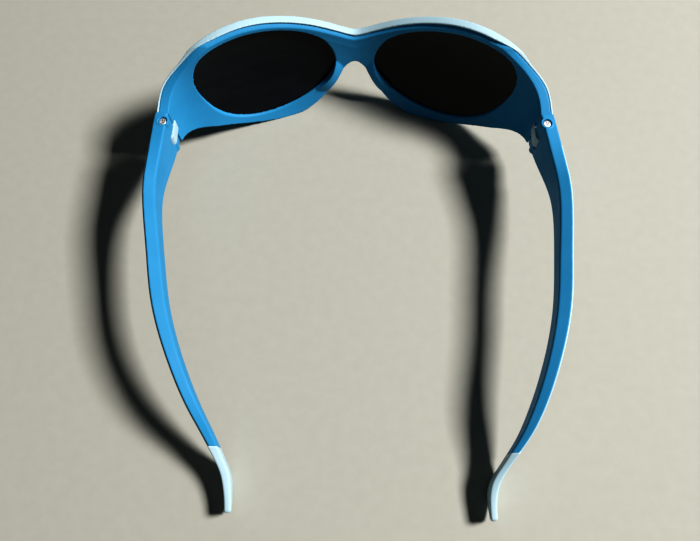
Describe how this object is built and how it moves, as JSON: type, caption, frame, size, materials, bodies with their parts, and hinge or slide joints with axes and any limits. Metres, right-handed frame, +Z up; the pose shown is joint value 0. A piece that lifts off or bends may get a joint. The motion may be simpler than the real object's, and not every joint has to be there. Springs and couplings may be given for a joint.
{
  "type": "wraparound sunglasses",
  "caption": "Child's wraparound sunglasses with dark lenses, a two-tone front and temples that fold inwards on screw hinges.",
  "frame": {"origin": "on the surface the open glasses stand on, under the middle of their length and width", "axes": "+X towards the wearer's left, +Y back along the temples, +Z up; the lenses face -Y"},
  "size_m": [0.1209, 0.142, 0.038],
  "materials": {
    "blue_moulding": "satin blue moulding",
    "pale_moulding": "satin pale blue moulding",
    "dark_lens": "polished near-black tint",
    "steel_screw": "plated steel",
    "brass_insert": "turned brass"
  },
  "bodies": {
    "front": {"front_frame": "blue_moulding", "front_shell": "pale_moulding", "left_lens": "dark_lens", "right_lens": "dark_lens"},
    "left_temple": {"left_temple_core": "blue_moulding", "left_temple_shell": "pale_moulding", "left_hinge_screw": "steel_screw", "left_hinge_insert": "brass_insert"},
    "right_temple": {"right_temple_core": "blue_moulding", "right_temple_shell": "pale_moulding", "right_hinge_screw": "steel_screw", "right_hinge_insert": "brass_insert"}
  },
  "joints": [
    {"name": "left_temple_fold", "type": "hinge", "parent": "front", "child": "left_temple", "pos_m": [0.0557, -0.0373, 0.01865], "axis": [0, 0, 1], "range_deg": [-2, 75]},
    {"name": "right_temple_fold", "type": "hinge", "parent": "front", "child": "right_temple", "pos_m": [-0.0557, -0.0373, 0.01865], "axis": [0, 0, -1], "range_deg": [0, 73]}
  ]
}
